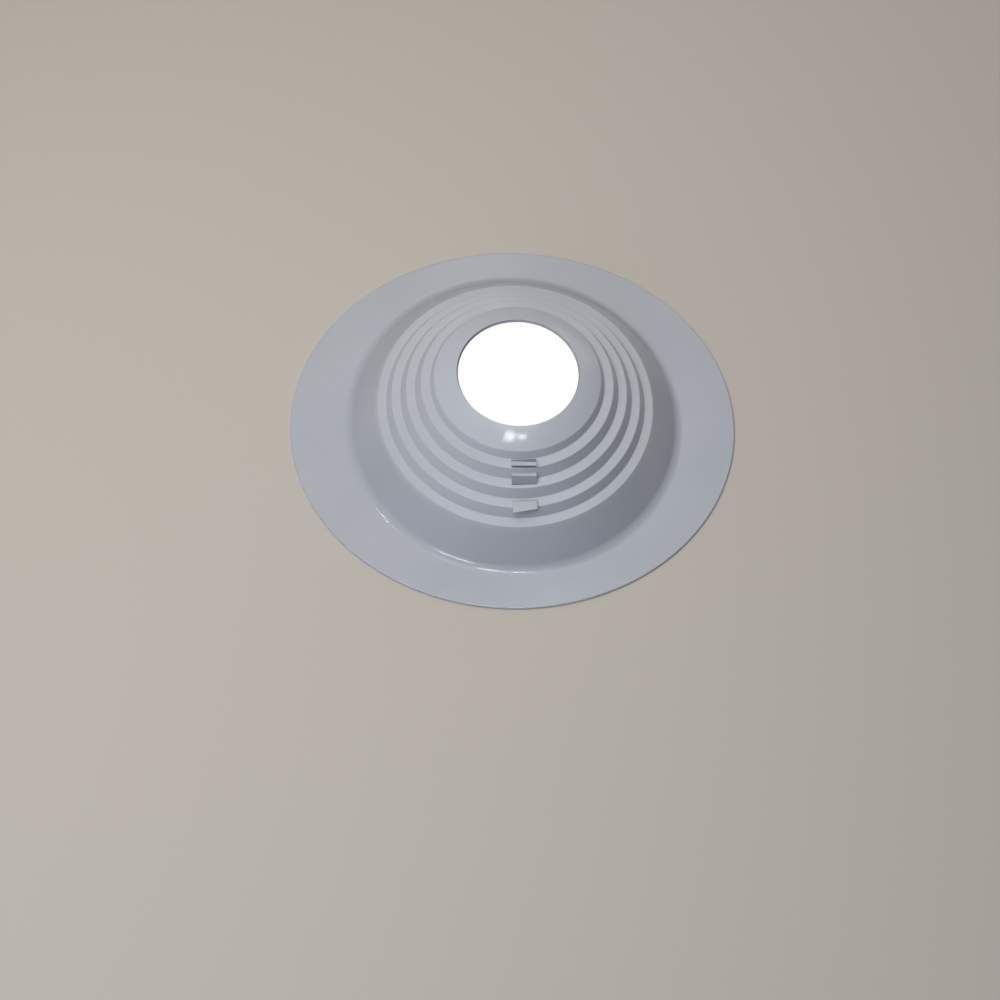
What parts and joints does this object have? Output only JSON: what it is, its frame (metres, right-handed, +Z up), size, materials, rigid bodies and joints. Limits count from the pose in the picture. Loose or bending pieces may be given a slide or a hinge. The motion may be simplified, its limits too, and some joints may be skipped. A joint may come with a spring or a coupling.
{
  "type": "pipe flashing boot",
  "caption": "Soft moulded boot that seals a pipe through a roof: thin, slightly oval flange, sloping wall, stepped cone with small tongues, and a shallow collar round the pipe opening.",
  "frame": {"origin": "on the axis of the pipe opening, in the plane of the flange's underside", "axes": "+Z up along the pipe, +X along the wider way of the flange, -Y towards the side with the tongues"},
  "size_m": [0.304, 0.275, 0.0607],
  "materials": {
    "boot_plastic": "satin, pale blue-grey"
  },
  "bodies": {
    "root": {"flashing_boot": "boot_plastic"}
  },
  "joints": []
}
